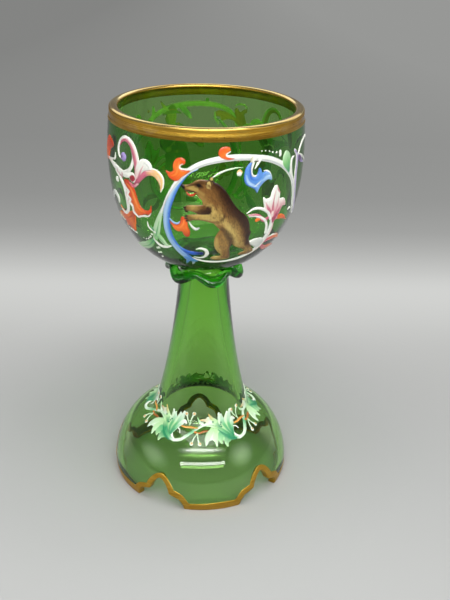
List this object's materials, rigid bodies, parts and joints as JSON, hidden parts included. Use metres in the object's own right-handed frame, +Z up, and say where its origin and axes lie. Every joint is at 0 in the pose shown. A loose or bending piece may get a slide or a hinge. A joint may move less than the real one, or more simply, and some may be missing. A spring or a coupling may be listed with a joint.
{
  "type": "hock glass",
  "caption": "Hock wine glass in green glass: rounded bowl on a hollow stem and a domed, scalloped foot, with a crimped collar, gilded edges and raised enamel scrollwork.",
  "frame": {"origin": "centre of the ring that the foot's lobes stand on, at table height", "axes": "+Z up along the glass's axis; -Y faces the viewer, the side with the bear; +X to the viewer's right"},
  "size_m": [0.0706, 0.071, 0.1504],
  "materials": {
    "glass_green": "polished transparent yellow-green glass",
    "trail_glass": "polished deeper green glass",
    "gilding": "fired gold, burnished on the lip and matt below, a little worn",
    "enamel_white": "raised glossy opaque enamel",
    "enamel_mint": "raised glossy opaque enamel",
    "enamel_blue": "raised glossy opaque enamel",
    "enamel_pink": "raised glossy opaque enamel",
    "enamel_orange": "raised glossy opaque enamel",
    "enamel_brown": "satin opaque enamel with painted fur",
    "enamel_coat": "satin opaque enamel"
  },
  "bodies": {
    "root": {"bowl": "glass_green", "stem_and_foot": "glass_green", "collar_trail": "trail_glass", "lip_gilding": "gilding", "foot_gilding": "gilding", "front_scroll_vine": "enamel_white", "front_inner_vine": "enamel_blue", "front_blue_leaf": "enamel_blue", "front_orange_leaf_high": "enamel_orange", "front_orange_leaf_low": "enamel_orange", "front_pink_acanthus": "enamel_pink", "front_pink_stem": "enamel_pink", "front_side_vine": "enamel_white", "front_side_flower": "enamel_pink", "front_side_leaf": "enamel_orange", "front_low_acanthus": "enamel_mint", "front_bear": "enamel_brown", "back_scroll_vine": "enamel_white", "back_inner_vine": "enamel_blue", "back_blue_leaf": "enamel_blue", "back_orange_leaf_high": "enamel_orange", "back_orange_leaf_low": "enamel_orange", "back_pink_acanthus": "enamel_pink", "back_pink_stem": "enamel_pink", "back_side_vine": "enamel_white", "back_side_flower": "enamel_pink", "back_side_leaf": "enamel_orange", "back_low_acanthus": "enamel_mint", "back_hunter": "enamel_coat", "garland_vine": "enamel_mint", "garland_leaf_high_1": "enamel_mint", "garland_leaf_low_1": "enamel_mint", "garland_leaf_high_2": "enamel_mint", "garland_leaf_low_2": "enamel_mint", "garland_leaf_high_3": "enamel_mint", "garland_leaf_low_3": "enamel_mint", "garland_leaf_high_4": "enamel_mint", "garland_leaf_low_4": "enamel_mint", "garland_leaf_high_5": "enamel_mint", "garland_leaf_low_5": "enamel_mint", "garland_leaf_high_6": "enamel_mint", "garland_leaf_low_6": "enamel_mint"}
  },
  "joints": []
}
